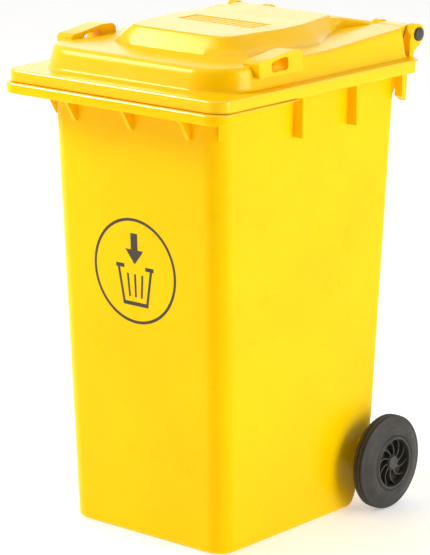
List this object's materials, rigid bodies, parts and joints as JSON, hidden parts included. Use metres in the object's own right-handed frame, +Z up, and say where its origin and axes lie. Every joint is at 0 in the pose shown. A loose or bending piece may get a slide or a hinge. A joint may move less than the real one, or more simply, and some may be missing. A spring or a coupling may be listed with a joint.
{
  "type": "wheelie bin",
  "caption": "Two-wheeled refuse container with tapered body, comb lifting lip, domed hinged lid with two grips, and a steel axle with sprung-latch wheels.",
  "frame": {"origin": "on the floor plane, midway between the two sides; X = 0 is the plane of symmetry and Y = 0 lies between the front wall and the axle", "axes": "+X to the right seen from the front, +Y to the hinge side, so the front faces -Y, +Z up"},
  "size_m": [0.58, 0.698, 1.032],
  "materials": {
    "body_hdpe": "glossy yellow moulded polyethylene",
    "lid_hdpe": "glossy yellow moulded polyethylene",
    "steel": "zinc-plated steel",
    "grey_plastic": "dark grey moulded plastic",
    "black_plastic": "black moulded plastic",
    "tyre_rubber": "black solid rubber, satin side wall"
  },
  "bodies": {
    "container": {"container_body": "body_hdpe", "hinge_pin_left": "steel", "hinge_pin_right": "steel", "hinge_cap_left": "grey_plastic", "hinge_cap_right": "grey_plastic", "axle": "steel", "axle_spacer_left": "black_plastic", "axle_spacer_right": "black_plastic"},
    "lid": {"lid": "lid_hdpe"},
    "wheel_left": {"wheel_hub_left": "black_plastic", "wheel_tyre_left": "tyre_rubber", "hub_cap_left": "black_plastic", "latch_spring_left": "steel", "latch_plug_left": "grey_plastic"},
    "wheel_right": {"wheel_hub_right": "black_plastic", "wheel_tyre_right": "tyre_rubber", "hub_cap_right": "black_plastic", "latch_spring_right": "steel", "latch_plug_right": "grey_plastic"},
    "latch_left": {"latch_pin_left": "grey_plastic"},
    "latch_right": {"latch_pin_right": "grey_plastic"}
  },
  "joints": [
    {"name": "lid_hinge", "type": "hinge", "parent": "container", "child": "lid", "pos_m": [0, 0.303, 0.992], "axis": [-1, 0, 0], "range_deg": [0, 250]},
    {"name": "wheel_left_spin", "type": "hinge", "parent": "container", "child": "wheel_left", "pos_m": [-0.26, 0.202, 0.1], "axis": [1, 0, 0], "continuous": true},
    {"name": "wheel_right_spin", "type": "hinge", "parent": "container", "child": "wheel_right", "pos_m": [0.26, 0.202, 0.1], "axis": [1, 0, 0], "continuous": true},
    {"name": "latch_left_slide", "type": "slide", "parent": "wheel_left", "child": "latch_left", "axis": [0, 0, 1], "range_m": [0, 0.0022], "stiffness_N_per_m": 400, "springref_m": -0.001, "deforming": ["latch_spring_left"]},
    {"name": "latch_right_slide", "type": "slide", "parent": "wheel_right", "child": "latch_right", "axis": [0, 0, 1], "range_m": [0, 0.0022], "stiffness_N_per_m": 400, "springref_m": -0.001, "deforming": ["latch_spring_right"]}
  ]
}
